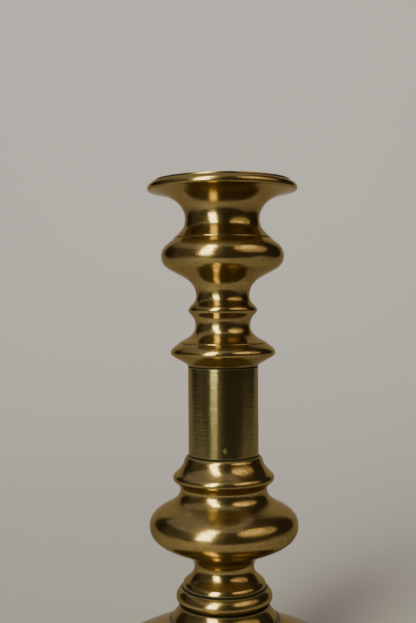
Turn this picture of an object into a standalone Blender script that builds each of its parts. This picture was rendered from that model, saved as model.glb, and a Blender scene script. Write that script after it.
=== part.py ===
"""Turned brass candlestick.

A foot, a collar, a bead ring, a knopped casting, a plain tube and a candle cup are stacked on one tie rod,
and a nozzle with a flat flange lifts out of the cup. Every piece is turned about +Z, and the table is z = 0.

All sizes below are millimetres. Heights inside a piece are measured up from its own lower face, and the
pieces are stacked with SEAM between faces that meet. Meshes are built in metres.
"""

import math

import bmesh
import bpy
from mathutils import Vector
from mathutils.geometry import interpolate_bezier

METRE = 0.001           # one millimetre in metres
STEPS = 36              # facets round a turned piece
SPANS = 5               # straight spans along one curved stretch of a profile

# Fits
SEAM = 0.3              # gap between faces that meet
FIT = 0.3               # radial gap between a spigot and its socket
CHAMFER = 0.4           # broken edge of a turned corner

# Candle nozzle
CANDLE_RADIUS = 11.0    # socket for a 22 mm candle
SOCKET_DEPTH = 26.0
NOZZLE_WALL = 0.7
NOZZLE_FLOOR = 1.2
FLANGE_RADIUS = 24.6
FLANGE_THICKNESS = 0.85
FLANGE_RECESS = 0.45    # how far the rim stands up round the flange

# Candle cup casting
CUP_WALL = 1.5          # wall at the cup's neck
CUP_SEAT_HEIGHT = 65.4  # face that the nozzle's flange rests on
RIM_ROLL = 2.15         # width of the rolled rim outside the flange
RIM_DROP = 1.75         # seat to the rim's widest line
CUP_NECK_DROP = 12.6    # seat to the cup's neck
UPPER_KNOP_RADIUS = 22.2
UPPER_KNOP_HEIGHT = 39.3
WAIST_RADIUS = 9.65
WAIST_HEIGHT = 25.0
BEAD_RADIUS = 12.5
BEAD_HEIGHT = 20.05
STEM_RADIUS = 9.95
STEM_HEIGHT = 14.4
DRIP_RADIUS = 18.95
DRIP_HEIGHT = 4.85

# Column tube
COLUMN_RADIUS = 12.7
COLUMN_WALL = 3.0
COLUMN_LENGTH = 31.8
SEAT_PROUD = 0.2        # how far the castings stand out from the tube at its ends
SPIGOT_LENGTH = 8.0

# Lower knop casting
KNOP_LENGTH = 47.05
SHOULDER_RADIUS = 18.35
SHOULDER_HEIGHT = 39.15
GROOVE_RADIUS = 15.75
GROOVE_HEIGHT = 34.9
KNOP_RADIUS = 26.95
KNOP_HEIGHT = 21.9
NECK_RADIUS = 10.8
NECK_HEIGHT = 7.15
NECK_FOOT_RADIUS = 15.05
NECK_FOOT_STEP = 2.2    # height of the quarter round under the neck
LONG_SPIGOT_RADIUS = 9.0
COLLAR_SOCKET_DEPTH = 3.0

# Bead ring and collar
RING_HEIGHT = 5.7
RING_RADIUS = 17.45
RING_FOOT_RADIUS = 15.9
COLLAR_HEIGHT = 5.4
COLLAR_TOP_RADIUS = 16.35
COLLAR_RADIUS = 19.0
COLLAR_SPIGOT_RADIUS = 8.0
COLLAR_SPIGOT_LENGTH = 4.0

# Foot
BASE_RADIUS = 58.0
BASE_HEIGHT = 31.75
BASE_WALL = 3.2
QUIRK_RADIUS = 22.2     # turned line round the collar
QUIRK_DROP = 2.4
DOME_DROP = 14.0        # seat to the dome's outer edge
STEP_DROP = 1.3
COVE_WIDTH = 8.2        # hollow moulding between the dome and the rolled edge
FOOT_ROLL_WIDTH = 3.8
FOOT_ROLL_HEIGHT = 7.4
FOOT_LAND = 4.0         # width of the flat ring that stands on the table
BOSS_RADIUS = 14.0
BOSS_DEPTH = 9.0        # seat to the boss's lower face

# Tie rod and its fasteners
ROD_RADIUS = 4.0
ROD_ENGAGEMENT = 12.0   # length screwed into the cup casting
ROD_END_GAP = 2.0
ROD_TAIL = 3.0          # length of rod below the nut
WASHER_RADIUS = 12.0
WASHER_THICKNESS = 1.6
LOCK_WASHER_RADIUS = 7.2
LOCK_WASHER_THICKNESS = 2.0
LOCK_WASHER_SPLIT = 1.2
NUT_ACROSS_FLATS = 13.0
NUT_HEIGHT = 6.5

# Sizes that follow from those above
ROD_HOLE_RADIUS = ROD_RADIUS + FIT
NOZZLE_RADIUS = CANDLE_RADIUS + NOZZLE_WALL
CUP_BORE_RADIUS = NOZZLE_RADIUS + FIT
CUP_NECK_RADIUS = CUP_BORE_RADIUS + CUP_WALL
RECESS_RADIUS = FLANGE_RADIUS + FIT
RIM_RADIUS = RECESS_RADIUS + RIM_ROLL
NOZZLE_DROP = SOCKET_DEPTH + NOZZLE_FLOOR - FLANGE_THICKNESS   # flange's lower face to the nozzle's foot
COLUMN_BORE_RADIUS = COLUMN_RADIUS - COLUMN_WALL
SPIGOT_RADIUS = COLUMN_BORE_RADIUS - FIT
LONG_SPIGOT_LENGTH = SEAM + RING_HEIGHT + SEAM + COLLAR_SOCKET_DEPTH
BASE_SPIGOT_HOLE_RADIUS = COLLAR_SPIGOT_RADIUS + FIT
BASE_INNER_RADIUS = BASE_RADIUS - FOOT_LAND - 1.0
COVE_RADIUS = BASE_RADIUS - FOOT_ROLL_WIDTH
DOME_RADIUS = COVE_RADIUS - COVE_WIDTH

# Levels of each piece's lower face above the table
COLLAR_LEVEL = BASE_HEIGHT + SEAM
RING_LEVEL = COLLAR_LEVEL + COLLAR_HEIGHT + SEAM
KNOP_LEVEL = RING_LEVEL + RING_HEIGHT + SEAM
COLUMN_LEVEL = KNOP_LEVEL + KNOP_LENGTH + SEAM
CUP_LEVEL = COLUMN_LEVEL + COLUMN_LENGTH + SEAM
NOZZLE_LEVEL = CUP_LEVEL + CUP_SEAT_HEIGHT + SEAM
WASHER_LEVEL = BASE_HEIGHT - BOSS_DEPTH - SEAM - WASHER_THICKNESS
LOCK_WASHER_LEVEL = WASHER_LEVEL - SEAM - LOCK_WASHER_THICKNESS
NUT_LEVEL = LOCK_WASHER_LEVEL - SEAM - NUT_HEIGHT
ROD_LEVEL = NUT_LEVEL - ROD_TAIL
ROD_LENGTH = CUP_LEVEL + ROD_ENGAGEMENT - ROD_LEVEL


def remove_all_objects():
    for item in list(bpy.data.objects):
        bpy.data.objects.remove(item, do_unlink=True)


def new_collection(name):
    collection = bpy.data.collections.new(name)
    bpy.context.scene.collection.children.link(collection)
    return collection


def metal(name, colour, roughness):
    material = bpy.data.materials.new(name)
    material.use_nodes = True
    shader = material.node_tree.nodes["Principled BSDF"]
    shader.inputs["Base Color"].default_value = (*colour, 1.0)
    shader.inputs["Roughness"].default_value = roughness
    shader.inputs["Metallic"].default_value = 1.0
    return material


def bend(start, start_handle, end_handle, end, spans=SPANS):
    """Points along a Bezier curve from start up to, but without, its end."""
    knots = [Vector((*point, 0.0)) for point in (start, start_handle, end_handle, end)]
    return [(point.x, point.y) for point in interpolate_bezier(*knots, spans + 1)][:-1]


def sweep(start, end, start_pull, end_pull):
    """S-curve between two stations where the surface stands upright, such as a crest and a neck.

    Each pull is the length of that end's handle, as a share of the height between the stations.
    """
    rise = end[1] - start[1]
    start_handle = (start[0], start[1] + start_pull * rise)
    end_handle = (end[0], end[1] - end_pull * rise)
    return bend(start, start_handle, end_handle, end)


def mesh_object(name, mesh, collection, material):
    item = bpy.data.objects.new(name, mesh)
    collection.objects.link(item)
    if material:
        mesh.materials.append(material)
    return item


def loop_edges(outline):
    """Edges that join an outline into a loop, without those that would lie on the axis."""
    count = len(outline)
    pairs = [(index, (index + 1) % count) for index in range(count)]
    return [(one, two) for one, two in pairs if outline[one][0] > 0.0 or outline[two][0] > 0.0]


def turned(name, outline, level, collection, material):
    """Turn an outline of (radius, height) points about Z, running down the outer side and up the bore."""
    mesh = bpy.data.meshes.new(name)
    points = [(radius * METRE, 0.0, height * METRE) for radius, height in outline]
    mesh.from_pydata(points, loop_edges(outline), [])
    item = mesh_object(name, mesh, collection, material)
    item.location.z = level * METRE
    screw = item.modifiers.new("turning", "SCREW")
    screw.axis = "Z"
    screw.angle = math.tau
    screw.steps = STEPS
    screw.render_steps = STEPS
    screw.use_merge_vertices = True
    screw.merge_threshold = 0.00001
    screw.use_smooth_shade = True
    return item


def cutter_object(name, mesh, collection):
    item = mesh_object(name, mesh, collection, None)
    item.hide_render = True
    item.display_type = "WIRE"
    return item


def cut(item, cutter, operation="DIFFERENCE"):
    boolean = item.modifiers.new(cutter.name, "BOOLEAN")
    boolean.operation = operation
    boolean.object = cutter


def candle_nozzle(collection, material):
    """Thin cup that holds the candle, with a flat flange that lies in the rim's recess."""
    flange_top = FLANGE_THICKNESS
    foot = -NOZZLE_DROP
    floor = foot + NOZZLE_FLOOR
    edge = FLANGE_THICKNESS / 2
    outline = [
        (CANDLE_RADIUS + CHAMFER, flange_top),
        (FLANGE_RADIUS - edge, flange_top),
        (FLANGE_RADIUS - 0.3 * edge, flange_top - 0.3 * edge),
        (FLANGE_RADIUS, flange_top - edge),
        (FLANGE_RADIUS - 0.3 * edge, 0.3 * edge),
        (FLANGE_RADIUS - edge, 0.0),
        (NOZZLE_RADIUS, 0.0),
        (NOZZLE_RADIUS, foot + CHAMFER),
        (NOZZLE_RADIUS - CHAMFER, foot),
        (0.0, foot),
    ]
    inside = [
        (0.0, floor),
        (CANDLE_RADIUS, floor),
        (CANDLE_RADIUS, flange_top - CHAMFER),
    ]
    return turned("candle_nozzle", outline + inside, NOZZLE_LEVEL, collection, material)


def cup_outside():
    crest = CUP_SEAT_HEIGHT + FLANGE_RECESS
    rim = (RIM_RADIUS, CUP_SEAT_HEIGHT - RIM_DROP)
    under_rim = (RIM_RADIUS - 2.4, rim[1] - 1.3)
    neck = (CUP_NECK_RADIUS, CUP_SEAT_HEIGHT - CUP_NECK_DROP)
    upper_line = (CUP_NECK_RADIUS + 4.15, UPPER_KNOP_HEIGHT + 6.75)
    knop = (UPPER_KNOP_RADIUS, UPPER_KNOP_HEIGHT)
    waist = (WAIST_RADIUS, WAIST_HEIGHT)
    bead = (BEAD_RADIUS, BEAD_HEIGHT)
    stem = (STEM_RADIUS, STEM_HEIGHT)
    drip = (DRIP_RADIUS, DRIP_HEIGHT)
    lower_line = (DRIP_RADIUS - 3.1, DRIP_HEIGHT + 3.55)
    foot_radius = COLUMN_RADIUS + SEAT_PROUD
    outline = []
    outline += bend((RECESS_RADIUS, crest), (RECESS_RADIUS + 1.2, crest - 0.4), (RIM_RADIUS, rim[1] + 1.2), rim)
    outline += bend(rim, (RIM_RADIUS, rim[1] - 1.1), (RIM_RADIUS - 1.1, under_rim[1] + 0.25), under_rim)
    outline += bend(under_rim, (neck[0] + 4.5, under_rim[1] - 1.2), (neck[0], neck[1] + 5.0), neck)
    outline += bend(neck, (neck[0], neck[1] - 3.0), (neck[0] + 1.1, neck[1] - 4.05), upper_line)
    outline += bend(
        (upper_line[0] + 0.1, upper_line[1] - 0.35),
        (upper_line[0] + 0.8, upper_line[1] - 1.4),
        (UPPER_KNOP_RADIUS, UPPER_KNOP_HEIGHT + 4.1),
        knop,
    )
    outline += sweep(knop, waist, 0.5, 0.63)
    outline += sweep(waist, bead, 0.47, 0.29)
    outline += sweep(bead, stem, 0.3, 0.7)
    outline += bend(stem, (STEM_RADIUS, STEM_HEIGHT - 3.85), (lower_line[0] - 1.4, lower_line[1] + 1.1), lower_line)
    outline += bend(
        (lower_line[0] + 0.1, lower_line[1] - 0.3),
        (lower_line[0] + 1.4, lower_line[1] - 1.25),
        (DRIP_RADIUS, DRIP_HEIGHT + 1.3),
        drip,
    )
    outline += bend(drip, (DRIP_RADIUS, DRIP_HEIGHT - 1.6), (foot_radius + 3.7, 2.85), (foot_radius, CHAMFER))
    outline += [(foot_radius - CHAMFER / 2, 0.0)]
    return outline


def candle_cup(collection, material):
    """Casting with the rim, cup, upper knop, bead and drip flange, and a spigot for the column."""
    thread_top = ROD_ENGAGEMENT + ROD_END_GAP
    cup_floor = CUP_SEAT_HEIGHT - NOZZLE_DROP
    outline = cup_outside()
    outline += [
        (SPIGOT_RADIUS, 0.0),
        (SPIGOT_RADIUS, CHAMFER - SPIGOT_LENGTH),
        (SPIGOT_RADIUS - CHAMFER, -SPIGOT_LENGTH),
        (ROD_HOLE_RADIUS, -SPIGOT_LENGTH),
        (ROD_HOLE_RADIUS, thread_top),
        (0.0, thread_top + ROD_HOLE_RADIUS / 2),
    ]
    inside = [
        (0.0, cup_floor),
        (CUP_BORE_RADIUS, cup_floor),
        (CUP_BORE_RADIUS, CUP_SEAT_HEIGHT),
        (RECESS_RADIUS, CUP_SEAT_HEIGHT),
    ]
    return turned("candle_cup", outline + inside, CUP_LEVEL, collection, material)


def column_tube(collection, material):
    outline = [
        (COLUMN_RADIUS - CHAMFER / 2, COLUMN_LENGTH),
        (COLUMN_RADIUS, COLUMN_LENGTH - CHAMFER / 2),
        (COLUMN_RADIUS, CHAMFER / 2),
        (COLUMN_RADIUS - CHAMFER / 2, 0.0),
        (COLUMN_BORE_RADIUS, 0.0),
        (COLUMN_BORE_RADIUS, COLUMN_LENGTH),
    ]
    return turned("column_tube", outline, COLUMN_LEVEL, collection, material)


def lower_knop_outside():
    top_radius = COLUMN_RADIUS + SEAT_PROUD
    flare_top = (top_radius + 1.25, KNOP_LENGTH - 1.4)
    shoulder = (SHOULDER_RADIUS, SHOULDER_HEIGHT)
    groove = (GROOVE_RADIUS, GROOVE_HEIGHT)
    knop = (KNOP_RADIUS, KNOP_HEIGHT)
    neck = (NECK_RADIUS, NECK_HEIGHT)
    foot_round = (NECK_FOOT_RADIUS - 1.0, NECK_FOOT_STEP)
    outline = [(top_radius, KNOP_LENGTH)]
    outline += bend(
        flare_top,
        (flare_top[0] + 0.4, flare_top[1] - 2.0),
        (SHOULDER_RADIUS - 2.45, SHOULDER_HEIGHT + 2.9),
        (SHOULDER_RADIUS - 0.6, SHOULDER_HEIGHT + 1.4),
    )
    outline += bend(
        (SHOULDER_RADIUS - 0.6, SHOULDER_HEIGHT + 1.4),
        (SHOULDER_RADIUS - 0.2, SHOULDER_HEIGHT + 0.9),
        (SHOULDER_RADIUS, SHOULDER_HEIGHT + 0.6),
        shoulder,
        spans=3,
    )
    outline += sweep(shoulder, groove, 0.38, 0.58)
    outline += sweep(groove, knop, 0.47, 0.6)
    outline += sweep(knop, neck, 0.61, 0.46)
    outline += bend(neck, (NECK_RADIUS, NECK_HEIGHT - 2.4), (foot_round[0] - 1.4, foot_round[1] + 1.0), foot_round)
    outline += bend(
        foot_round,
        (foot_round[0] + 0.5, foot_round[1] - 0.3),
        (NECK_FOOT_RADIUS, 1.0),
        (NECK_FOOT_RADIUS, CHAMFER / 2),
        spans=4,
    )
    outline += [(NECK_FOOT_RADIUS, CHAMFER / 2), (NECK_FOOT_RADIUS - CHAMFER / 2, 0.0)]
    return outline


def lower_knop(collection, material):
    """Casting between the column and the bead ring, with a spigot at each end."""
    outline = lower_knop_outside()
    outline += [
        (LONG_SPIGOT_RADIUS, 0.0),
        (LONG_SPIGOT_RADIUS, CHAMFER - LONG_SPIGOT_LENGTH),
        (LONG_SPIGOT_RADIUS - CHAMFER, -LONG_SPIGOT_LENGTH),
        (ROD_HOLE_RADIUS, -LONG_SPIGOT_LENGTH),
        (ROD_HOLE_RADIUS, KNOP_LENGTH + SPIGOT_LENGTH),
        (SPIGOT_RADIUS - CHAMFER, KNOP_LENGTH + SPIGOT_LENGTH),
        (SPIGOT_RADIUS, KNOP_LENGTH + SPIGOT_LENGTH - CHAMFER),
        (SPIGOT_RADIUS, KNOP_LENGTH),
    ]
    return turned("lower_knop", outline, KNOP_LEVEL, collection, material)


def bead_ring(collection, material):
    crest = (RING_RADIUS, RING_HEIGHT * 0.38)
    top = (NECK_FOOT_RADIUS + 0.1, RING_HEIGHT)
    foot = (RING_FOOT_RADIUS, CHAMFER / 2)
    bore = LONG_SPIGOT_RADIUS + FIT
    outline = bend(top, (top[0] + 1.3, RING_HEIGHT - 0.7), (RING_RADIUS, crest[1] + 1.6), crest)
    outline += bend(crest, (RING_RADIUS, crest[1] - 1.2), (foot[0] + 0.45, foot[1] + 0.45), foot, spans=4)
    outline += [foot, (foot[0] - CHAMFER, 0.0), (bore, 0.0), (bore, RING_HEIGHT)]
    return turned("bead_ring", outline, RING_LEVEL, collection, material)


def collar(collection, material):
    """Flared collar that takes the long spigot in its top and centres itself in the foot."""
    top = (COLLAR_TOP_RADIUS, COLLAR_HEIGHT - CHAMFER)
    foot = (COLLAR_RADIUS, CHAMFER)
    socket = LONG_SPIGOT_RADIUS + FIT
    socket_floor = COLLAR_HEIGHT - COLLAR_SOCKET_DEPTH - SEAM
    outline = [(COLLAR_TOP_RADIUS - CHAMFER, COLLAR_HEIGHT)]
    outline += bend(top, (top[0] + 0.4, top[1] - 2.0), (foot[0] - 0.5, foot[1] + 1.2), foot)
    outline += [
        foot,
        (COLLAR_RADIUS - CHAMFER / 2, 0.0),
        (COLLAR_SPIGOT_RADIUS, 0.0),
        (COLLAR_SPIGOT_RADIUS, CHAMFER - COLLAR_SPIGOT_LENGTH),
        (COLLAR_SPIGOT_RADIUS - CHAMFER, -COLLAR_SPIGOT_LENGTH),
        (ROD_HOLE_RADIUS, -COLLAR_SPIGOT_LENGTH),
        (ROD_HOLE_RADIUS, socket_floor),
        (socket, socket_floor),
        (socket, COLLAR_HEIGHT),
    ]
    return turned("collar", outline, COLLAR_LEVEL, collection, material)


def foot_outside():
    quirk = (QUIRK_RADIUS, BASE_HEIGHT - QUIRK_DROP)
    dome = (DOME_RADIUS, BASE_HEIGHT - DOME_DROP)
    step = (DOME_RADIUS + 0.3, dome[1] - STEP_DROP)
    cove = (COVE_RADIUS, FOOT_ROLL_HEIGHT)
    roll_height = FOOT_ROLL_HEIGHT * 0.48
    outline = bend(
        (COLLAR_RADIUS, BASE_HEIGHT),
        (COLLAR_RADIUS + 1.4, BASE_HEIGHT),
        (QUIRK_RADIUS - 0.4, quirk[1] + 1.3),
        quirk,
        spans=4,
    )
    outline += bend(quirk, (quirk[0] + 8.0, quirk[1] - 3.1), (dome[0] - 7.0, dome[1] + 4.1), dome)
    outline += bend(step, (step[0] + 0.6, step[1] - 4.5), (cove[0] - 3.2, cove[1] + 1.6), cove)
    outline += [cove, (cove[0] + 0.8, cove[1] - 0.3)]
    outline += bend(
        (cove[0] + 0.9, cove[1] - 0.35),
        (cove[0] + 2.6, cove[1] - 0.4),
        (BASE_RADIUS, roll_height + 2.0),
        (BASE_RADIUS, roll_height),
    )
    outline += bend(
        (BASE_RADIUS, roll_height),
        (BASE_RADIUS, roll_height - 1.8),
        (BASE_RADIUS - 0.4, CHAMFER),
        (BASE_RADIUS - 1.0, 0.0),
        spans=3,
    )
    outline += [(BASE_RADIUS - 1.0, 0.0)]
    return outline


def domed_foot(collection, material):
    """Domed foot, hollow underneath, with a boss for the tie rod's washer."""
    dome_under = BASE_HEIGHT - DOME_DROP - BASE_WALL
    boss_face = BASE_HEIGHT - BOSS_DEPTH
    hollow_top = BASE_HEIGHT - QUIRK_DROP - BASE_WALL
    spigot_floor = BASE_HEIGHT - COLLAR_SPIGOT_LENGTH - SEAM
    outline = foot_outside()
    outline += bend(
        (BASE_INNER_RADIUS, 0.0),
        (BASE_INNER_RADIUS - 0.6, 5.0),
        (DOME_RADIUS - 1.0, dome_under - 4.0),
        (DOME_RADIUS - BASE_WALL, dome_under),
    )
    outline += bend(
        (DOME_RADIUS - BASE_WALL, dome_under),
        (DOME_RADIUS - BASE_WALL - 7.0, dome_under + 4.5),
        (QUIRK_RADIUS + 5.0, hollow_top - 1.5),
        (QUIRK_RADIUS - 2.0, hollow_top),
    )
    outline += [
        (QUIRK_RADIUS - 2.0, hollow_top),
        (BOSS_RADIUS + 1.0, hollow_top),
        (BOSS_RADIUS, boss_face + CHAMFER),
        (BOSS_RADIUS - CHAMFER, boss_face),
        (ROD_HOLE_RADIUS, boss_face),
        (ROD_HOLE_RADIUS, spigot_floor),
        (BASE_SPIGOT_HOLE_RADIUS, spigot_floor),
        (BASE_SPIGOT_HOLE_RADIUS, BASE_HEIGHT),
    ]
    return turned("domed_foot", outline, 0.0, collection, material)


def tie_rod(collection, material):
    outline = [
        (0.0, ROD_LENGTH),
        (ROD_RADIUS - CHAMFER, ROD_LENGTH),
        (ROD_RADIUS, ROD_LENGTH - CHAMFER),
        (ROD_RADIUS, CHAMFER),
        (ROD_RADIUS - CHAMFER, 0.0),
        (0.0, 0.0),
    ]
    return turned("tie_rod", outline, ROD_LEVEL, collection, material)


def flat_ring(name, radius, thickness, level, collection, material):
    outline = [
        (radius - CHAMFER / 2, thickness),
        (radius, thickness - CHAMFER / 2),
        (radius, CHAMFER / 2),
        (radius - CHAMFER / 2, 0.0),
        (ROD_HOLE_RADIUS, 0.0),
        (ROD_HOLE_RADIUS, thickness),
    ]
    return turned(name, outline, level, collection, material)


def base_washer(collection, material):
    return flat_ring("base_washer", WASHER_RADIUS, WASHER_THICKNESS, WASHER_LEVEL, collection, material)


def lock_washer(collection, cutters, material):
    """Split ring that keeps the nut from working loose."""
    item = flat_ring(
        "lock_washer", LOCK_WASHER_RADIUS, LOCK_WASHER_THICKNESS, LOCK_WASHER_LEVEL, collection, material
    )
    mesh = bpy.data.meshes.new("split_cutter")
    shape = bmesh.new()
    bmesh.ops.create_cube(shape, size=1.0)
    size = Vector((2 * LOCK_WASHER_RADIUS, LOCK_WASHER_SPLIT, 3 * LOCK_WASHER_THICKNESS)) * METRE
    bmesh.ops.scale(shape, vec=size, verts=shape.verts)
    shape.to_mesh(mesh)
    shape.free()
    cutter = cutter_object("split_cutter", mesh, cutters)
    middle = LOCK_WASHER_LEVEL + LOCK_WASHER_THICKNESS / 2
    cutter.location = Vector((LOCK_WASHER_RADIUS, 0.0, middle)) * METRE
    cut(item, cutter)
    return item


def hex_nut(collection, cutters, material):
    """Hexagon nut with both faces turned down to a cone at the corners."""
    corner_radius = NUT_ACROSS_FLATS / math.sqrt(3.0)
    flat_radius = NUT_ACROSS_FLATS / 2
    mesh = bpy.data.meshes.new("hex_nut")
    shape = bmesh.new()
    bmesh.ops.create_cone(
        shape,
        cap_ends=True,
        segments=6,
        radius1=corner_radius * METRE,
        radius2=corner_radius * METRE,
        depth=NUT_HEIGHT * METRE,
    )
    bmesh.ops.translate(shape, vec=(0.0, 0.0, NUT_HEIGHT / 2 * METRE), verts=shape.verts)
    shape.to_mesh(mesh)
    shape.free()
    item = mesh_object("hex_nut", mesh, collection, material)
    item.location.z = NUT_LEVEL * METRE
    slope = (corner_radius - flat_radius) * math.tan(math.radians(30.0)) + 0.2
    outline = [
        (flat_radius - 0.3, NUT_HEIGHT),
        (corner_radius + 0.3, NUT_HEIGHT - slope),
        (corner_radius + 0.3, slope),
        (flat_radius - 0.3, 0.0),
        (ROD_HOLE_RADIUS, 0.0),
        (ROD_HOLE_RADIUS, NUT_HEIGHT),
    ]
    cutter = turned("nut_cutter", outline, NUT_LEVEL, cutters, None)
    cutter.hide_render = True
    cutter.display_type = "WIRE"
    cut(item, cutter, "INTERSECT")
    return item


def build():
    remove_all_objects()
    pieces = new_collection("candlestick")
    cutters = new_collection("cutters")
    cast_brass = metal("cast_brass", (0.62, 0.44, 0.17), 0.22)
    tube_brass = metal("tube_brass", (0.6, 0.43, 0.18), 0.28)
    steel = metal("steel", (0.42, 0.41, 0.39), 0.4)
    items = [
        candle_nozzle(pieces, tube_brass),
        candle_cup(pieces, cast_brass),
        column_tube(pieces, tube_brass),
        lower_knop(pieces, cast_brass),
        bead_ring(pieces, cast_brass),
        collar(pieces, cast_brass),
        domed_foot(pieces, cast_brass),
        tie_rod(pieces, steel),
        base_washer(pieces, steel),
        lock_washer(pieces, cutters, steel),
        hex_nut(pieces, cutters, steel),
    ]
    stand = bpy.data.objects.new("candlestick_origin", None)
    pieces.objects.link(stand)
    for item in items:
        item.parent = stand


build()
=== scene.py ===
"""Looks of a turned brass candlestick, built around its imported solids.

Every turned piece is made again here with a fine profile, dressed in a worked brass or steel finish, and
stands for its plain solid. Profile sizes are millimetres; meshes and places in the scene are metres.
"""

import logging
import math
from collections.abc import Callable, Sequence
from dataclasses import dataclass
from enum import Enum
from typing import Any

import bpy
from mathutils import Matrix, Vector
from mathutils.geometry import interpolate_bezier


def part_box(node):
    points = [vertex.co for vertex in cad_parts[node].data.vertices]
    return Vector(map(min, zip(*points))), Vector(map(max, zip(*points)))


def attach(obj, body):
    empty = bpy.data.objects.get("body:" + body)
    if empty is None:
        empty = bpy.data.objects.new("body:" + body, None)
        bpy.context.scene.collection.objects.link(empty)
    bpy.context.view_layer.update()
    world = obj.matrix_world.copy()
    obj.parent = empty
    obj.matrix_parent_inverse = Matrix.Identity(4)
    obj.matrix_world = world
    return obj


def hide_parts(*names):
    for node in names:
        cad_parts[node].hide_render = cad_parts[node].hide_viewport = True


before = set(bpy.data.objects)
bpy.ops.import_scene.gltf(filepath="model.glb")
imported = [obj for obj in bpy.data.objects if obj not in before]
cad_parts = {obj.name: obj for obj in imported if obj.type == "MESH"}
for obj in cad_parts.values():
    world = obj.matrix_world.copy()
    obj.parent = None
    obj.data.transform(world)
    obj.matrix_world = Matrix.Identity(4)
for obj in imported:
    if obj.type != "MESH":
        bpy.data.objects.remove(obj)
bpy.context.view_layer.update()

LOG = logging.getLogger("candlestick")
MM = 0.001
STEPS = 180  # facets round a turned piece
SPANS = 14  # straight spans along one curved stretch of a profile
CREASE = math.radians(32.0)  # a sharper corner than this stays an edge

Point = tuple[float, float]
Colour = tuple[float, float, float]
Place = tuple[float, float, float]


class Body(Enum):
    """The moving bodies of the frame."""

    STICK = "stick"
    NOZZLE = "nozzle"


class Glow(Enum):
    """Shapes of a soft light."""

    RECTANGLE = "RECTANGLE"
    ELLIPSE = "ELLIPSE"


class Slot(Enum):
    """The record's material slots."""

    CAST = "cast_brass"
    TUBE = "tube_brass"
    STEEL = "steel"


# ------------------------------------------------------------
# Shader networks
# ------------------------------------------------------------


class Wire:
    """A number on its way between shader nodes; arithmetic on it adds Math nodes."""

    def __init__(self, net: "Net", socket: bpy.types.NodeSocket) -> None:
        """Wraps an output socket.

        Args:
            net: The network that the socket belongs to.
            socket: The output socket.
        """
        self.net = net
        self.socket = socket

    def math(self, operation: str, *others: "Wire | float") -> "Wire":
        """Adds a Math node with this wire as its first value.

        Args:
            operation: The Math node's operation.
            others: Its second and third values.

        Returns:
            The result.
        """
        values = {index: value for index, value in enumerate((self, *others))}
        return self.net.node("ShaderNodeMath", {"operation": operation}, values)

    def __add__(self, other: "Wire | float") -> "Wire":
        """Sum."""
        return self.math("ADD", other)

    __radd__ = __add__

    def __mul__(self, other: "Wire | float") -> "Wire":
        """Product."""
        return self.math("MULTIPLY", other)

    __rmul__ = __mul__

    def __sub__(self, other: "Wire | float") -> "Wire":
        """Difference."""
        return self.math("SUBTRACT", other)

    def __rsub__(self, other: float) -> "Wire":
        """A plain number less this wire."""
        return (self * -1.0).math("ADD", other)

    def __abs__(self) -> "Wire":
        """Size without its sign."""
        return self.math("ABSOLUTE")

    def step(self, low: float, high: float, start: float = 0.0, end: float = 1.0) -> "Wire":
        """Smooth step from start, at or below low, to end, at or above high.

        Args:
            low: Where the step begins.
            high: Where it ends.
            start: The value before it.
            end: The value after it.

        Returns:
            The stepped value.
        """
        values = {"Value": self, "From Min": low, "From Max": high, "To Min": start, "To Max": end}
        return self.net.node("ShaderNodeMapRange", {"interpolation_type": "SMOOTHSTEP"}, values)

    def either(self, other: "Wire | float") -> "Wire":
        """The larger of two values."""
        return self.math("MAXIMUM", other)


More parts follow.
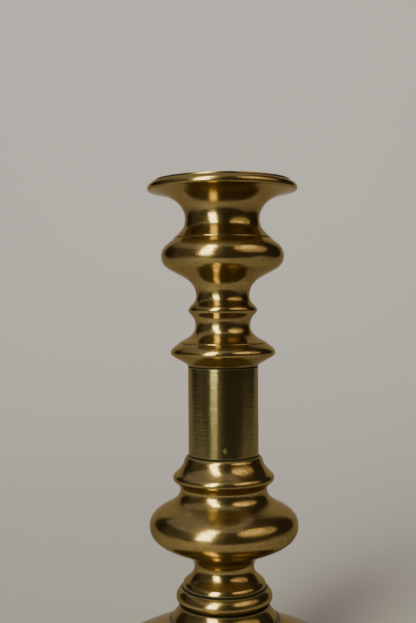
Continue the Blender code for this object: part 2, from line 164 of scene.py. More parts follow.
class Net:
    """The node network of a material or of the world."""

    def __init__(self, name: str, world: bool = False) -> None:
        """Makes a material or a world with an empty network.

        Args:
            name: Its name.
            world: Whether it is a world.
        """
        self.owner = bpy.data.worlds.new(name) if world else bpy.data.materials.new(name)
        self.owner.use_nodes = True
        self.tree = self.owner.node_tree
        self.tree.nodes.clear()
        self.place: Wire | None = None

    def node(
        self,
        kind: str,
        settings: dict[str, Any] | None = None,
        inputs: dict[str | int, Any] | None = None,
        output: str | int = 0,
    ) -> Wire:
        """Adds one node.

        Args:
            kind: The node's type.
            settings: Its properties, set before its sockets.
            inputs: Values or wires for its sockets, by name or number.
            output: The output socket to return, by name or number.

        Returns:
            The chosen output.
        """
        made = self.tree.nodes.new(kind)
        for key, value in (settings or {}).items():
            setattr(made, key, value)
        for key, value in (inputs or {}).items():
            socket = made.inputs[key]
            if isinstance(value, Wire):
                self.tree.links.new(value.socket, socket)
            elif isinstance(value, tuple) and len(value) == 3 and socket.type == "RGBA":
                socket.default_value = (*value, 1.0)
            else:
                socket.default_value = value
        return Wire(self, made.outputs[output] if made.outputs else made.inputs[0])

    def position(self) -> Wire:
        """The piece's own coordinates in metres; at rest they are the frame's."""
        if self.place is None:
            self.place = self.node("ShaderNodeTexCoord", output="Object")
        return self.place

    def axes(self) -> tuple[Wire, Wire, Wire]:
        """The three coordinates of position()."""
        place = {0: self.position()}
        x, y, z = (self.node("ShaderNodeSeparateXYZ", inputs=place, output=axis) for axis in "XYZ")
        return x, y, z

    def vector(self, x: "Wire | float", y: "Wire | float", z: "Wire | float") -> Wire:
        """A vector from three numbers."""
        return self.node("ShaderNodeCombineXYZ", inputs={0: x, 1: y, 2: z})

    def noise(self, where: Wire, scale: float, detail: float = 2.0, roughness: float = 0.5) -> Wire:
        """Noise about 0.5.

        Args:
            where: The coordinates.
            scale: Features in a metre.
            detail: Octaves.
            roughness: Strength of the finer octaves.

        Returns:
            The noise value.
        """
        values = {"Vector": where, "Scale": scale, "Detail": detail, "Roughness": roughness}
        return self.node("ShaderNodeTexNoise", {"noise_dimensions": "3D"}, values)

    def blend(self, factor: "Wire | float", first: "Wire | Colour", second: "Wire | Colour") -> Wire:
        """A colour between two.

        Args:
            factor: 0 gives the first, 1 the second.
            first: A colour.
            second: A colour.

        Returns:
            The mixed colour.
        """
        return self.node("ShaderNodeMix", {"data_type": "RGBA"}, {0: factor, 6: first, 7: second}, 2)

    def bump(self, height: Wire, distance: float, under: Wire | None = None) -> Wire:
        """A normal from a height.

        Args:
            height: About 0 to 1.
            distance: Metres for a height of 1.
            under: A normal that it is added to.

        Returns:
            The normal.
        """
        values: dict[str | int, Any] = {"Height": height, "Distance": distance, "Strength": 1.0}
        if under is not None:
            values["Normal"] = under
        return self.node("ShaderNodeBump", inputs=values)

    def surface(self, inputs: dict[str | int, Any]) -> bpy.types.Material:
        """Finishes the network with a Principled shader.

        Args:
            inputs: Its sockets.

        Returns:
            The material.
        """
        return self._show(self.node("ShaderNodeBsdfPrincipled", inputs=inputs))

    def hazed(self, inputs: dict[str | int, Any], share: float, roughness: float) -> bpy.types.Material:
        """Finishes the network with a Principled shader and a duller copy of it mixed in.

        Args:
            inputs: The shader's sockets.
            share: How much of the duller copy shows.
            roughness: The duller copy's roughness.

        Returns:
            The material.
        """
        clear = self.node("ShaderNodeBsdfPrincipled", inputs=inputs)
        dull = self.node("ShaderNodeBsdfPrincipled", inputs={**inputs, "Roughness": roughness})
        return self._show(self.node("ShaderNodeMixShader", inputs={0: share, 1: clear, 2: dull}))

    def _show(self, shader: Wire) -> bpy.types.Material:
        """Joins a shader to the material's output."""
        self.node("ShaderNodeOutputMaterial", inputs={"Surface": shader})
        return self.owner


# ------------------------------------------------------------
# Finishes
# ------------------------------------------------------------


@dataclass(frozen=True)
class Seams:
    """Where tarnish has gathered on a piece: heights along its axis, in millimetres above the table."""

    heights: tuple[float, ...] = ()
    reach: float = 0.55
    strength: float = 0.9

    def mask(self, net: Net, up: Wire) -> Wire | float:
        """The strength at a seam, falling to 0 within the reach.

        Args:
            net: The network to add to.
            up: Height above the table, in metres.

        Returns:
            The mask.
        """
        found: Wire | float = 0.0
        for height in self.heights:
            near = abs(up - height * MM).step(0.1 * MM, self.reach * MM, self.strength, 0.0)
            found = near if isinstance(found, float) else found.either(near)
        return found


@dataclass(frozen=True)
class Spot:
    """A small mark at one place on a piece: a casting pit, or a knock shown by a painted reflection."""

    place: Place  # millimetres
    radius: float


@dataclass(frozen=True)
class Brass:
    """Turned brass: lathe lines round the axis, soft patina, grain, specks, and tarnish in the seams."""

    name: str
    colour: Colour = (0.455, 0.348, 0.145)
    brown: Colour = (0.29, 0.205, 0.085)
    edge: Colour = (0.62, 0.56, 0.46)  # tint where the surface turns away
    tarnish: Colour = (0.012, 0.016, 0.011)
    roughness: float = 0.16
    patina: float = 0.06  # how much duller the patina's patches are
    lines: float = 0.6  # strength of the lathe lines
    stretch: float = 0.6  # how far highlights run along the axis
    haze: float = 0.12  # share of light scattered widely by the wear of polishing
    seams: Seams = Seams()
    pits: tuple[Spot, ...] = ()
    # Knocks, each drawn as a lighter diamond of colour: a painted reflection of the dent, which has no
    # relief here.
    painted_knock_glints: tuple[Spot, ...] = ()

    # Features in a metre
    coarse_lines = 1300.0
    fine_lines = 4200.0
    patches = 85.0
    drifts = 26.0
    grains = 1500.0
    stains = 520.0
    waves = 150.0
    # Reliefs in millimetres
    line_depth = 0.07
    wave_depth = 0.035
    spiral = 0.012  # how far a lathe line wanders as it goes round
    pit_colour = (0.05, 0.035, 0.012)
    # Lighter brass for a knock: painted reflection of the dent.
    painted_glint_colour = (0.50, 0.42, 0.20)
    haze_roughness = 0.45

    def material(self) -> bpy.types.Material:
        """Builds the finish.

        Returns:
            The material.
        """
        net = Net(self.name)
        place = net.position()
        x, y, up = net.axes()
        turned = net.vector((x * x + y * y).math("SQRT"), x * self.spiral, up)
        coarse = net.noise(turned, self.coarse_lines, 3.0, 0.62)
        fine = net.noise(turned, self.fine_lines, 2.0, 0.55)
        cloud = net.noise(place, self.patches, 4.0, 0.62)
        drift = net.noise(place, self.drifts, 2.0, 0.5)
        grain = net.noise(place, self.grains, 3.0, 0.65)
        grime = net.noise(place, self.stains, 3.0, 0.7).step(0.60, 0.80)
        dull = cloud.step(0.40, 0.74)
        dark = (grain.step(0.60, 0.74) * 0.65).either(grime * 0.2)
        for pit in self.pits:
            dark = dark.either(self._near(net, place, pit))
        lines = (coarse.step(0.40, 0.62) * 0.6 + fine.step(0.38, 0.62) * 0.4) * (0.7 * self.lines)
        worn = grain.step(0.36, 0.64) * self.lines
        colour = net.blend(dull * 0.34 + drift * 0.12 + lines + worn, self.colour, self.brown)
        colour = net.blend(dark.math("MINIMUM", 0.92), colour, self.pit_colour)
        uneven = (coarse + grain - 1.0) * (0.14 * self.lines)
        rough = self.roughness + dull * self.patina + uneven + dark * 0.15
        # A knock roughens a small diamond and lightens its colour; the roughness is real, the lighter
        # colour is a painted reflection of the dent.
        for glint_spot in self.painted_knock_glints:
            mark = self._diamond(net, x, up, y, glint_spot)
            colour = net.blend(mark * 0.4, colour, self.painted_glint_colour)
            rough = rough + mark * 0.2
        metal: Wire | float = 1.0
        seam = self.seams.mask(net, up)
        if isinstance(seam, Wire):
            ragged = (seam * (0.8 + grime * 0.3 + cloud * 0.4)).math("MINIMUM", 1.0)
            colour = net.blend(ragged, colour, self.tarnish)
            rough = rough + ragged * 0.4
            metal = 1.0 - ragged * 0.85
        height = coarse * 0.45 + fine * 0.25 + grain * 0.35 - dark * 0.4
        worked = net.bump(height, self.line_depth * MM * self.lines)
        wavy = net.bump(net.noise(place, self.waves, 1.0, 0.4), self.wave_depth * MM, worked)
        inputs: dict[str | int, Any] = {
            "Base Color": colour,
            "Metallic": metal,
            "Roughness": rough.math("MAXIMUM", 0.04),
            "Specular Tint": self.edge,
            "Anisotropic": self.stretch,
            "Anisotropic Rotation": 0.25,
            "Normal": wavy,
        }
        return net.hazed(inputs, self.haze, self.haze_roughness)

    @staticmethod
    def _near(net: Net, place: Wire, spot: Spot) -> Wire:
        """1 at a spot, 0 beyond its radius.

        Args:
            net: The network to add to.
            place: The coordinates.
            spot: The mark.

        Returns:
            The mask.
        """
        centre = tuple(value * MM for value in spot.place)
        away = net.node("ShaderNodeVectorMath", {"operation": "DISTANCE"}, {0: place, 1: centre}, "Value")
        return away.step(spot.radius * 0.4 * MM, spot.radius * MM, 1.0, 0.0)

    @staticmethod
    def _diamond(net: Net, x: Wire, up: Wire, y: Wire, spot: Spot) -> Wire:
        """1 inside an upright diamond on the front of a piece, where a knock's reflection is painted.

        Args:
            net: The network to add to.
            x: Coordinate across the front.
            up: Height.
            y: Coordinate away from the front.
            spot: The mark.

        Returns:
            The mask.
        """
        across = abs(x - spot.place[0] * MM)
        along = abs(up - spot.place[2] * MM) * 0.66
        front = y.step(-1.0 * MM, 0.0, 1.0, 0.0)
        return (across + along).step(spot.radius * 0.5 * MM, spot.radius * MM, 1.0, 0.0) * front


@dataclass(frozen=True)
class Steel:
    """Dull zinc-plated steel with turning marks and a little rust."""

    name: str
    colour: Colour = (0.43, 0.43, 0.41)
    roughness: float = 0.38

    def material(self) -> bpy.types.Material:
        """Builds the finish.

        Returns:
            The material.
        """
        net = Net(self.name)
        place = net.position()
        x, y, up = net.axes()
        radius = (x * x + y * y).math("SQRT")
        marks = net.noise(net.vector(radius, x * 0.05, up), 3000.0, 2.0)
        bloom = net.noise(place, 420.0, 4.0, 0.65)
        rust = net.noise(place, 160.0, 5.0, 0.7).step(0.60, 0.72)
        colour = net.blend(bloom, self.colour, (0.24, 0.24, 0.22))
        colour = net.blend(rust * 0.75, colour, (0.13, 0.055, 0.02))
        return net.surface(
            {
                "Base Color": colour,
                "Metallic": 1.0 - rust * 0.8,
                "Roughness": self.roughness + bloom * 0.14 + rust * 0.3,
                "Normal": net.bump(marks * 0.6 + bloom * 0.4, 0.03 * MM),
            }
        )


@dataclass(frozen=True)
class Paper:
    """Matt pale studio paper with faint clouds and fibres."""

    name: str
    colour: Colour = (0.465, 0.460, 0.482)

    def material(self) -> bpy.types.Material:
        """Builds the finish.

        Returns:
            The material.
        """
        net = Net(self.name)
        place = net.position()
        fibre = net.noise(place, 700.0, 3.0, 0.6)
        cloud = net.noise(place, 3.0, 2.0, 0.5)
        tone = net.blend(cloud * 0.18, self.colour, tuple(value * 0.88 for value in self.colour))
        return net.surface(
            {
                "Base Color": net.blend(fibre * 0.10, tone, (0.45, 0.44, 0.43)),
                "Roughness": 0.9 - fibre * 0.1,
                "Specular IOR Level": 0.2,
                "Normal": net.bump(fibre, 0.02 * MM),
            }
        )


# ------------------------------------------------------------
# Turning
# ------------------------------------------------------------


class Outline:
    """A closed profile of (radius, height) points, drawn down the outer side and back up the bore."""

    def __init__(self, start: Point) -> None:
        """Starts the profile.

        Args:
            start: Its first point.
        """
        self.points: list[Point] = [start]

    def line(self, *points: Point) -> "Outline":
        """Adds straight lines to each point in turn."""
        self.points.extend(points)
        return self

    def curve(self, first_handle: Point, second_handle: Point, end: Point, spans: int = SPANS) -> "Outline":
        """Adds a Bezier curve from the last point.

        Args:
            first_handle: Handle at the last point.
            second_handle: Handle at the end.
            end: The curve's end.
            spans: Straight spans that it is made of.

        Returns:
            The outline, for the next stretch.
        """
        knots = [Vector((*point, 0.0)) for point in (self.points[-1], first_handle, second_handle, end)]
        self.points.extend((knot.x, knot.y) for knot in interpolate_bezier(*knots, spans + 1)[1:])
        return self

    def sweep(self, end: Point, start_pull: float, end_pull: float) -> "Outline":
        """Adds an S-curve that stands upright at both ends.

        Args:
            end: The curve's end.
            start_pull: First handle's length as a share of the height between the ends.
            end_pull: Second handle's length as such a share.

        Returns:
            The outline, for the next stretch.
        """
        start = self.points[-1]
        rise = end[1] - start[1]
        return self.curve((start[0], start[1] + start_pull * rise), (end[0], end[1] - end_pull * rise), end)


def moved(point: Point, out: float, up: float) -> Point:
    """A profile point moved outwards and upwards."""
    return point[0] + out, point[1] + up


def around(radius: float, angle: float, up: float) -> Place:
    """A point in metres, from a radius and a height in millimetres and an angle about the axis."""
    return radius * MM * math.cos(angle), radius * MM * math.sin(angle), up * MM


def object_from(
    name: str, points: Sequence[Sequence[float]], faces: Sequence[Sequence[int]]
) -> bpy.types.Object:
    """Makes a smooth-shaded object whose sharp corners stay edges.

    Args:
        name: The object's name.
        points: Its points, in metres.
        faces: Its faces.

    Returns:
        The object.
    """
    mesh = bpy.data.meshes.new(name)
    mesh.from_pydata(points, [], faces)
    mesh.validate()
    mesh.shade_smooth()
    mesh.set_sharp_from_angle(angle=CREASE)
    item = bpy.data.objects.new(name, mesh)
    bpy.context.scene.collection.objects.link(item)
    return item


def rings(name: str, loops: int, spots: int, place: Callable[[int, int], Place]) -> bpy.types.Object:
    """Makes a closed surface from rows of points that run round the axis.

    Args:
        name: The object's name.
        loops: Points along the profile; the last joins the first.
        spots: Points round the axis.
        place: Gives the point, in metres, of a profile index and a round index.

    Returns:
        The object.
    """
    points = [place(loop, spot) for loop in range(loops) for spot in range(spots)]
    faces = []
    for loop in range(loops):
        row = loop * spots
        after = (loop + 1) % loops * spots
        for spot in range(spots):
            beside = (spot + 1) % spots
            faces.append((row + spot, after + spot, after + beside, row + beside))
    return object_from(name, points, faces)


def turn(name: str, outline: Outline, level: float, steps: int = STEPS) -> bpy.types.Object:
    """Turns an outline about the axis.

    Args:
        name: The object's name.
        outline: The profile; points on the axis become one point each.
        level: Height of the profile's zero, in millimetres.
        steps: Facets round the axis.

    Returns:
        The object.
    """
    starts: list[int] = []
    points: list[Place] = []
    for radius, height in outline.points:
        starts.append(len(points))
        spots = steps if radius > 0.0 else 1
        points.extend(around(radius, math.tau * spot / steps, height + level) for spot in range(spots))
    faces: list[tuple[int, ...]] = []
    count = len(outline.points)
    for index in range(count):
        after = (index + 1) % count
        here_on_axis = outline.points[index][0] <= 0.0
        next_on_axis = outline.points[after][0] <= 0.0
        if here_on_axis and next_on_axis:
            continue
        for step in range(steps):
            beside = (step + 1) % steps
            upper = [starts[index]] if here_on_axis else [starts[index] + beside, starts[index] + step]
            lower = [starts[after]] if next_on_axis else [starts[after] + step, starts[after] + beside]
            faces.append(tuple(upper + lower))
    return object_from(name, points, faces)


@dataclass(frozen=True)
class Turned:
    """A turned piece: where it stands, what it stands for and how it is dressed."""

    node = ""
    body = Body.STICK
    slot = Slot.CAST

    def top(self) -> float:
        """Height of the piece's top above its own lower face, in millimetres."""
        raise NotImplementedError

    def outline(self) -> Outline:
        """The piece's profile, with heights above its own lower face."""
        raise NotImplementedError

    def finish(self, level: float) -> Brass | Steel:
        """The piece's finish.

        Args:
            level: Height of its lower face above the table, in millimetres.

        Returns:
            The finish.
        """
        raise NotImplementedError

    def build(self) -> bpy.types.Object:
        """Makes the piece where the frame has it, dresses it and hands it to its body.

        Returns:
            The piece.
        """
        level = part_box(self.node)[1].z / MM - self.top()
        piece = self.shape(level)
        piece.data.materials.append(self.finish(level).material())
        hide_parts(self.node)
        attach(piece, self.body.value)
        LOG.info("%s stands for %s, %d faces", piece.name, self.node, len(piece.data.polygons))
        return piece

    def shape(self, level: float) -> bpy.types.Object:
        """Makes the piece's mesh.

        Args:
            level: Height of its lower face above the table, in millimetres.

        Returns:
            The object.
        """
        return turn(f"{self.node}_turned", self.outline(), level)


# ------------------------------------------------------------
# The candlestick's pieces
# ------------------------------------------------------------

FIT = 0.3  # radial gap between a spigot and its socket
BREAK = 0.35  # broken edge of a turned corner
ROD_RADIUS = 4.0
ROD_HOLE_RADIUS = ROD_RADIUS + FIT
COLUMN_RADIUS = 12.7
COLUMN_BORE_RADIUS = 9.7
SPIGOT_RADIUS = COLUMN_BORE_RADIUS - FIT
SPIGOT_LENGTH = 8.0
SEAT_RADIUS = COLUMN_RADIUS + 0.2  # castings where they meet the column
LONG_SPIGOT_RADIUS = 9.0
NECK_FOOT_RADIUS = 15.05
COLLAR_SPIGOT_RADIUS = 8.0
COLLAR_SPIGOT_LENGTH = 4.0
CANDLE_RADIUS = 11.0
NOZZLE_RADIUS = 11.7
FLANGE_RADIUS = 24.6


@dataclass(frozen=True)
class Nozzle(Turned):
    """Lift-out candle nozzle: a thin cup with a flat flange that lies in the rim."""

    node = "candle_nozzle"
    body = Body.NOZZLE
    slot = Slot.TUBE
    flange_thickness: float = 0.85
    floor_thickness: float = 1.2
    socket_depth: float = 26.0

    def top(self) -> float:
        """Height of the flange's top above its lower face."""
        return self.flange_thickness

    def outline(self) -> Outline:
        """Flange, outer wall, foot and socket."""
        top = self.flange_thickness
        foot = top - self.socket_depth - self.floor_thickness
        edge = top / 2
        shape = Outline((CANDLE_RADIUS + 0.5, top)).line((FLANGE_RADIUS - edge, top))
        shape.curve((FLANGE_RADIUS - 0.1, top), (FLANGE_RADIUS, top - 0.1), (FLANGE_RADIUS, edge), 5)
        shape.curve((FLANGE_RADIUS, 0.1), (FLANGE_RADIUS - 0.1, 0.0), (FLANGE_RADIUS - edge, 0.0), 5)
        shape.line((NOZZLE_RADIUS, 0.0), (NOZZLE_RADIUS, foot + 1.0))
        corner = (NOZZLE_RADIUS, foot)
        shape.curve(moved(corner, 0.0, 0.3), moved(corner, -0.3, 0.0), moved(corner, -1.0, 0.0), 6)
        floor = (CANDLE_RADIUS, foot + self.floor_thickness)
        shape.line((0.0, foot), (0.0, floor[1]), moved(floor, -0.5, 0.0))
        shape.curve(moved(floor, -0.2, 0.0), moved(floor, 0.0, 0.2), moved(floor, 0.0, 0.5), 4)
        mouth = (CANDLE_RADIUS, top)
        shape.line(moved(mouth, 0.0, -0.5))
        return shape.curve(moved(mouth, 0.0, -0.2), moved(mouth, 0.2, 0.0), moved(mouth, 0.5, 0.0), 5)

    def finish(self, level: float) -> Brass:
        """Satin brass that has darkened at its edge and in the socket."""
        return Brass("nozzle_brass", roughness=0.22, patina=0.10, seams=Seams((level - 0.1,), 0.4, 0.7))


@dataclass(frozen=True)
class CandleCup(Turned):
    """Casting with the rolled rim, the cup, the upper knop, the bead and the drip flange."""

    node = "candle_cup"
    seat_height: float = 65.4
    recess: float = 0.45
    rim_roll: float = 2.15
    rim_drop: float = 1.75
    neck_drop: float = 12.6
    neck_radius: float = 13.5
    knop: Point = (22.2, 39.3)
    waist: Point = (9.65, 25.0)
    bead: Point = (12.5, 20.05)
    stem: Point = (9.95, 14.4)
    drip: Point = (18.95, 4.85)
    thread_top: float = 14.0

    def top(self) -> float:
        """Height of the rim's crest."""
        return self.seat_height + self.recess

    def outline(self) -> Outline:
        """Rim to drip flange, spigot, threaded hole and cup bore."""
        recess_radius = FLANGE_RADIUS + FIT
        crest = self.top()
        rim = (recess_radius + self.rim_roll, self.seat_height - self.rim_drop)
        under = moved(rim, -2.4, -1.3)
        neck = (self.neck_radius, self.seat_height - self.neck_drop)
        shape = Outline((recess_radius, crest))
        shape.curve((recess_radius + 1.2, crest - 0.4), moved(rim, 0.0, 1.2), rim)
        shape.curve(moved(rim, 0.0, -1.1), (rim[0] - 1.1, under[1] + 0.25), under)
        shape.curve((neck[0] + 4.5, under[1] - 1.2), moved(neck, 0.0, 5.0), neck)
        self._quirk(shape, neck)
        shape.sweep(self.waist, 0.5, 0.63).sweep(self.bead, 0.47, 0.29).sweep(self.stem, 0.3, 0.7)
        self._drip_flange(shape)
        shape.line((SPIGOT_RADIUS, 0.0), (SPIGOT_RADIUS, BREAK - SPIGOT_LENGTH))
        shape.line((SPIGOT_RADIUS - BREAK, -SPIGOT_LENGTH), (ROD_HOLE_RADIUS, -SPIGOT_LENGTH))
        shape.line((ROD_HOLE_RADIUS, self.thread_top), (0.0, self.thread_top + ROD_HOLE_RADIUS / 2))
        floor = self.seat_height - 26.35
        bore = NOZZLE_RADIUS + FIT
        shape.line((0.0, floor), (bore, floor), (bore, self.seat_height), (recess_radius, self.seat_height))
        return shape

    def _quirk(self, shape: Outline, neck: Point) -> None:
        """Runs from the cup's neck over a fine turned line to the knop's crest.

        Args:
            shape: The profile so far, at the neck.
            neck: The neck.
        """
        line = (self.neck_radius + 4.15, self.knop[1] + 6.75)
        shape.curve(moved(neck, 0.0, -3.0), moved(neck, 1.1, -4.05), line)
        shape.curve(moved(line, -0.05, -0.12), moved(line, 0.0, -0.28), moved(line, 0.1, -0.35), 4)
        shape.curve(moved(line, 0.8, -1.4), moved(self.knop, 0.0, 4.1), self.knop)

    def _drip_flange(self, shape: Outline) -> None:
        """Runs from the stem over a fine turned line to the casting's foot.

        Args:
            shape: The profile so far, at the stem.
        """
        line = moved(self.drip, -3.1, 3.55)
        shape.curve(moved(self.stem, 0.0, -3.85), moved(line, -1.4, 1.1), line)
        shape.curve(moved(line, -0.05, -0.1), moved(line, 0.02, -0.24), moved(line, 0.1, -0.3), 4)
        shape.curve(moved(line, 1.4, -1.25), moved(self.drip, 0.0, 1.3), self.drip)
        shape.curve(moved(self.drip, 0.0, -1.6), (SEAT_RADIUS + 3.7, 2.85), (SEAT_RADIUS, BREAK))
        shape.line((SEAT_RADIUS - BREAK / 2, 0.0))

    def finish(self, level: float) -> Brass:
        """Polished brass with tarnish at the flange and the column's seam."""
        return Brass(
            "cup_brass",
            seams=Seams((level + 0.05, level + self.seat_height + 0.1), 0.3, 0.7),
            pits=(Spot((8.2, -7.4, level + 21.5), 0.35), Spot((-4.0, -17.6, level + 4.4), 0.3)),
        )


@dataclass(frozen=True)
class ColumnTube(Turned):
    """Plain tube between the two castings."""

    node = "column_tube"
    slot = Slot.TUBE
    length: float = 31.8

    def top(self) -> float:
        """Length of the tube."""
        return self.length

    def outline(self) -> Outline:
        """Tube with slightly broken ends."""
        end = BREAK / 2
        shape = Outline((COLUMN_RADIUS - end, self.length))
        shape.line((COLUMN_RADIUS, self.length - end), (COLUMN_RADIUS, end), (COLUMN_RADIUS - end, 0.0))
        return shape.line((COLUMN_BORE_RADIUS, 0.0), (COLUMN_BORE_RADIUS, self.length))

    def finish(self, level: float) -> Brass:
        """Satin drawn tube, duller than the castings, with one small knock shown as a painted lighter
        diamond.
        """
        return Brass(
            "column_brass",
            colour=(0.37, 0.297, 0.138),
            brown=(0.26, 0.22, 0.10),
            roughness=0.135,
            patina=0.05,
            lines=0.8,
            seams=Seams((level, level + self.length), 0.5, 1.0),
            # The knock: a lighter diamond of colour, a painted reflection of the dent.
            painted_knock_glints=(Spot((0.3, -12.7, level + 3.2), 1.1),),
        )


@dataclass(frozen=True)
class LowerKnop(Turned):
    """Casting with the shoulder, the groove, the big knop and its neck."""

    node = "lower_knop"
    length: float = 47.05
    shoulder: Point = (18.35, 39.15)
    groove: Point = (15.75, 34.9)
    knop: Point = (26.95, 21.9)
    neck: Point = (10.8, 7.15)
    foot_step: float = 2.2
    long_spigot_length: float = 9.3

    def top(self) -> float:
        """Top of the spigot inside the column."""
        return self.length + SPIGOT_LENGTH

    def outline(self) -> Outline:
        """Flare to neck foot, long spigot, rod hole and upper spigot."""
        flare = (SEAT_RADIUS + 1.25, self.length - 1.4)
        lip = moved(self.shoulder, -0.6, 1.4)
        foot = (NECK_FOOT_RADIUS - 1.0, self.foot_step)
        shape = Outline((SEAT_RADIUS, self.length))
        shape.curve((SEAT_RADIUS + 0.5, self.length), moved(flare, -0.1, 0.6), flare, 6)
        shape.curve(moved(flare, 0.4, -2.0), moved(lip, -1.85, 1.5), lip)
        shape.curve(moved(lip, 0.4, -0.5), moved(self.shoulder, 0.0, 0.6), self.shoulder, 6)
        shape.sweep(self.groove, 0.38, 0.58).sweep(self.knop, 0.47, 0.6).sweep(self.neck, 0.61, 0.46)
        shape.curve(moved(self.neck, 0.0, -2.4), moved(foot, -1.4, 1.0), foot)
        shape.curve(moved(foot, 0.5, -0.3), (NECK_FOOT_RADIUS, 1.0), (NECK_FOOT_RADIUS, BREAK / 2), 6)
        shape.line((NECK_FOOT_RADIUS - BREAK / 2, 0.0), (LONG_SPIGOT_RADIUS, 0.0))
        shape.line((LONG_SPIGOT_RADIUS, BREAK - self.long_spigot_length))
        shape.line((LONG_SPIGOT_RADIUS - BREAK, -self.long_spigot_length))
        shape.line((ROD_HOLE_RADIUS, -self.long_spigot_length), (ROD_HOLE_RADIUS, self.top()))
        shape.line((SPIGOT_RADIUS - BREAK, self.top()), (SPIGOT_RADIUS, self.top() - BREAK))
        return shape.line((SPIGOT_RADIUS, self.length))

    def finish(self, level: float) -> Brass:
        """Polished brass with casting pits on the flare."""
        pits = (
            Spot((5.5, -12.9, level + 45.2), 0.5),
            Spot((5.2, -13.3, level + 43.2), 0.35),
            Spot((3.4, -14.3, level + 42.3), 0.35),
            Spot((10.3, -9.6, level + 45.4), 0.4),
        )
        return Brass("knop_brass", seams=Seams((level + self.length, level + 0.1), 0.45, 0.9), pits=pits)


@dataclass(frozen=True)
class BeadRing(Turned):
    """Loose ring with a rounded bead, between the neck and the collar."""

    node = "bead_ring"
    height: float = 5.7
    radius: float = 17.45
    foot_radius: float = 15.9

    def top(self) -> float:
        """Height of the ring."""
        return self.height

    def outline(self) -> Outline:
        """Bead and bore."""
        crest = (self.radius, self.height * 0.38)
        top = (NECK_FOOT_RADIUS + 0.1, self.height)
        foot = (self.foot_radius, 0.2)
        bore = LONG_SPIGOT_RADIUS + FIT
        shape = Outline(top).curve(moved(top, 1.3, -0.7), (self.radius, crest[1] + 1.6), crest)
        shape.curve((self.radius, crest[1] - 1.2), moved(foot, 0.45, 0.45), foot)
        return shape.line((foot[0] - BREAK, 0.0), (bore, 0.0), (bore, self.height))

    def finish(self, level: float) -> Brass:
        """Polished brass, dark at both faces."""
        return Brass("ring_brass", seams=Seams((level, level + self.height), 0.5, 1.0))


@dataclass(frozen=True)
class Collar(Turned):
    """Flared collar on top of the foot."""

    node = "collar"
    height: float = 5.4
    top_radius: float = 16.35
    foot_radius: float = 19.0
    socket_floor: float = 2.1

    def top(self) -> float:
        """Height of the collar."""
        return self.height

    def outline(self) -> Outline:
        """Flare, spigot, rod hole and socket."""
        top = (self.top_radius, self.height - 0.4)
        foot = (self.foot_radius, 0.4)
        socket = LONG_SPIGOT_RADIUS + FIT
        shape = Outline((top[0] - 0.4, self.height))
        shape.curve((top[0] - 0.1, self.height), (top[0], self.height - 0.1), top, 4)
        shape.curve(moved(top, 0.4, -2.0), moved(foot, -0.5, 1.2), foot)
        shape.line((foot[0] - 0.2, 0.0), (COLLAR_SPIGOT_RADIUS, 0.0))
        shape.line((COLLAR_SPIGOT_RADIUS, BREAK - COLLAR_SPIGOT_LENGTH))
        shape.line((COLLAR_SPIGOT_RADIUS - BREAK, -COLLAR_SPIGOT_LENGTH))
        shape.line((ROD_HOLE_RADIUS, -COLLAR_SPIGOT_LENGTH), (ROD_HOLE_RADIUS, self.socket_floor))
        return shape.line((socket, self.socket_floor), (socket, self.height))

    def finish(self, level: float) -> Brass:
        """Polished brass, dark at both faces."""
        return Brass("collar_brass", seams=Seams((level, level + self.height), 0.5, 1.0))


@dataclass(frozen=True)
class DomedFoot(Turned):
    """Domed foot with a cove and a rolled edge, hollow underneath, with a boss for the washer."""

    node = "domed_foot"
    radius: float = 58.0
    height: float = 31.75
    wall: float = 3.2
    collar_radius: float = 19.0
    quirk: Point = (22.2, 29.35)
    dome: Point = (46.0, 17.75)
    cove: Point = (54.2, 7.4)
    step_drop: float = 1.3
    boss: Point = (14.0, 22.75)

    def top(self) -> float:
        """Height of the seat for the collar."""
        return self.height

    def outline(self) -> Outline:
        """Dome, cove and roll, then the hollow underside and the boss."""
        step = moved(self.dome, 0.3, -self.step_drop)
        roll = self.cove[1] * 0.48
        shape = Outline((self.collar_radius, self.height))
        shape.curve((self.collar_radius + 1.4, self.height), moved(self.quirk, -0.4, 1.3), self.quirk, 8)
        shape.curve(moved(self.quirk, 8.0, -3.1), moved(self.dome, -7.0, 4.1), self.dome)
        shape.line(step)
        shape.curve(moved(step, 0.6, -4.5), moved(self.cove, -3.2, 1.6), self.cove)
        shape.line(moved(self.cove, 0.8, -0.3))
        shape.curve(moved(self.cove, 2.6, -0.4), (self.radius, roll + 2.0), (self.radius, roll))
        shape.curve((self.radius, roll - 1.8), (self.radius - 0.4, 0.4), (self.radius - 1.0, 0.0), 8)
        return self._underside(shape)

    def _underside(self, shape: Outline) -> Outline:
        """Runs from the land under the rolled edge up the hollow to the boss and the bore.

        Args:
            shape: The profile so far, at the outer edge of the land.

        Returns:
            The finished profile.
        """
        under = self.dome[1] - self.wall
        ceiling = self.quirk[1] - self.wall
        land = self.radius - 5.0
        spigot_floor = self.height - COLLAR_SPIGOT_LENGTH - FIT
        hole = COLLAR_SPIGOT_RADIUS + FIT
        inner = (self.dome[0] - self.wall, under)
        crown = (self.quirk[0] - 2.0, ceiling)
        shape.line((land, 0.0))
        shape.curve((land - 0.6, 5.0), (self.dome[0] - 1.0, under - 4.0), inner)
        shape.curve(moved(inner, -7.0, 4.5), (self.quirk[0] + 5.0, ceiling - 1.5), crown)
        shape.line((self.boss[0] + 1.0, ceiling), moved(self.boss, 0.0, 0.4))
        shape.line(moved(self.boss, -0.4, 0.0), (ROD_HOLE_RADIUS, self.boss[1]))
        return shape.line((ROD_HOLE_RADIUS, spigot_floor), (hole, spigot_floor), (hole, self.height))

    def finish(self, level: float) -> Brass:
        """Polished brass, dark under the collar and in the step."""
        step = self.dome[1] - self.step_drop * 0.6
        return Brass("foot_brass", seams=Seams((level + self.height, level + step, level), 0.6, 0.85))


